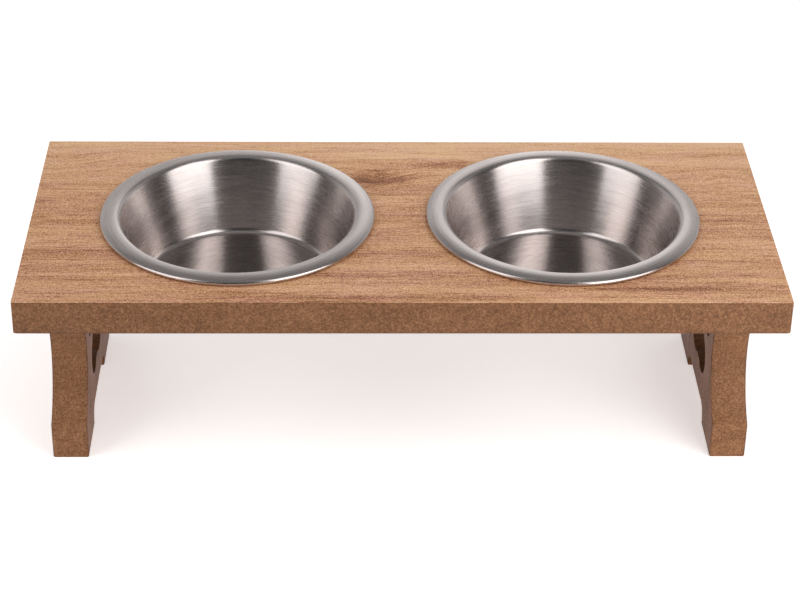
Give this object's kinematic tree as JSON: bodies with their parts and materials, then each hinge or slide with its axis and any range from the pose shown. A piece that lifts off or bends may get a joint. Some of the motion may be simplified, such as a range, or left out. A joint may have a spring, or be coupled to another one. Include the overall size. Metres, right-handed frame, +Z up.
{
  "type": "raised pet bowl stand with two bowls",
  "caption": "Low faced-board stand on two shaped side legs with paw-print cut-outs; drawn steel bowls hang by rolled rims in round holes and lift straight out.",
  "frame": {"origin": "on the floor, under the middle of the board", "axes": "+X along the board to its right end, +Y from the front to the back, +Z up"},
  "size_m": [0.385, 0.172, 0.1139],
  "materials": {
    "board_core": "painted fibreboard edge, fine speckle, satin",
    "wood_grain_face": "light brown wood-grain sheet, grain along the board, satin",
    "backing": "plain brown backing sheet, matt",
    "leg_core": "painted fibreboard edge, fine speckle, satin",
    "leg_face": "dull brown wood-grain sheet, grain upright, satin",
    "dowel": "plain beech",
    "bowl_steel": "stainless steel, brushed round the axis, satin rim"
  },
  "bodies": {
    "stand": {"top_board": "board_core", "top_face_sheet": "wood_grain_face", "underside_sheet": "backing", "left_leg": "leg_core", "left_leg_outer_sheet": "leg_face", "left_leg_inner_sheet": "leg_face", "right_leg": "leg_core", "right_leg_outer_sheet": "leg_face", "right_leg_inner_sheet": "leg_face", "left_front_dowel": "dowel", "left_rear_dowel": "dowel", "right_front_dowel": "dowel", "right_rear_dowel": "dowel"},
    "left_bowl": {"left_bowl": "bowl_steel"},
    "right_bowl": {"right_bowl": "bowl_steel"}
  },
  "joints": [
    {"name": "left_bowl_lift", "type": "slide", "parent": "stand", "child": "left_bowl", "axis": [0, 0, 1], "range_m": [0, 0.06]},
    {"name": "right_bowl_lift", "type": "slide", "parent": "stand", "child": "right_bowl", "axis": [0, 0, 1], "range_m": [0, 0.06]}
  ]
}
